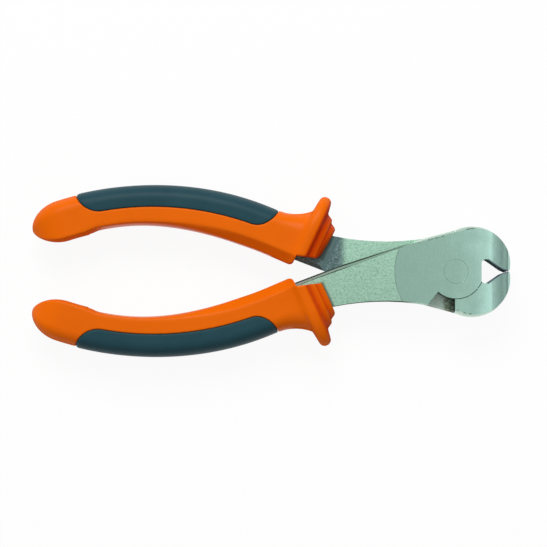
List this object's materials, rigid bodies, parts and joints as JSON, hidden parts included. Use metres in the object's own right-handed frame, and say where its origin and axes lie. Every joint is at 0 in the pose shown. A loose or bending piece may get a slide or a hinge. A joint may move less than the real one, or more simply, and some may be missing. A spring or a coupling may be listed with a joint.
{
  "type": "end cutting nippers",
  "caption": "End cutting nippers: crossed forged halves on a flush rivet, rounded jaws with a full-width cutting edge, and guarded plastic grips with soft pads.",
  "frame": {"origin": "where the pivot axis meets the ground back face of the joint", "axes": "+X from the handles to the jaws, +Y to the rear half's handle, +Z along the pivot to the front face"},
  "size_m": [0.1603, 0.0578, 0.0178],
  "materials": {
    "steel": "satin",
    "rivet": "polished",
    "grip": "semi-gloss",
    "pad": "satin"
  },
  "bodies": {
    "rear_lever": {"rear_half": "steel", "rivet": "rivet", "rear_grip": "grip", "rear_pad": "pad"},
    "front_lever": {"front_half": "steel", "front_grip": "grip", "front_pad": "pad"}
  },
  "joints": [
    {"name": "pivot", "type": "hinge", "parent": "rear_lever", "child": "front_lever", "pos_m": [0, 0, 0.0052], "axis": [0, 0, 1], "range_deg": [0, 34]}
  ]
}
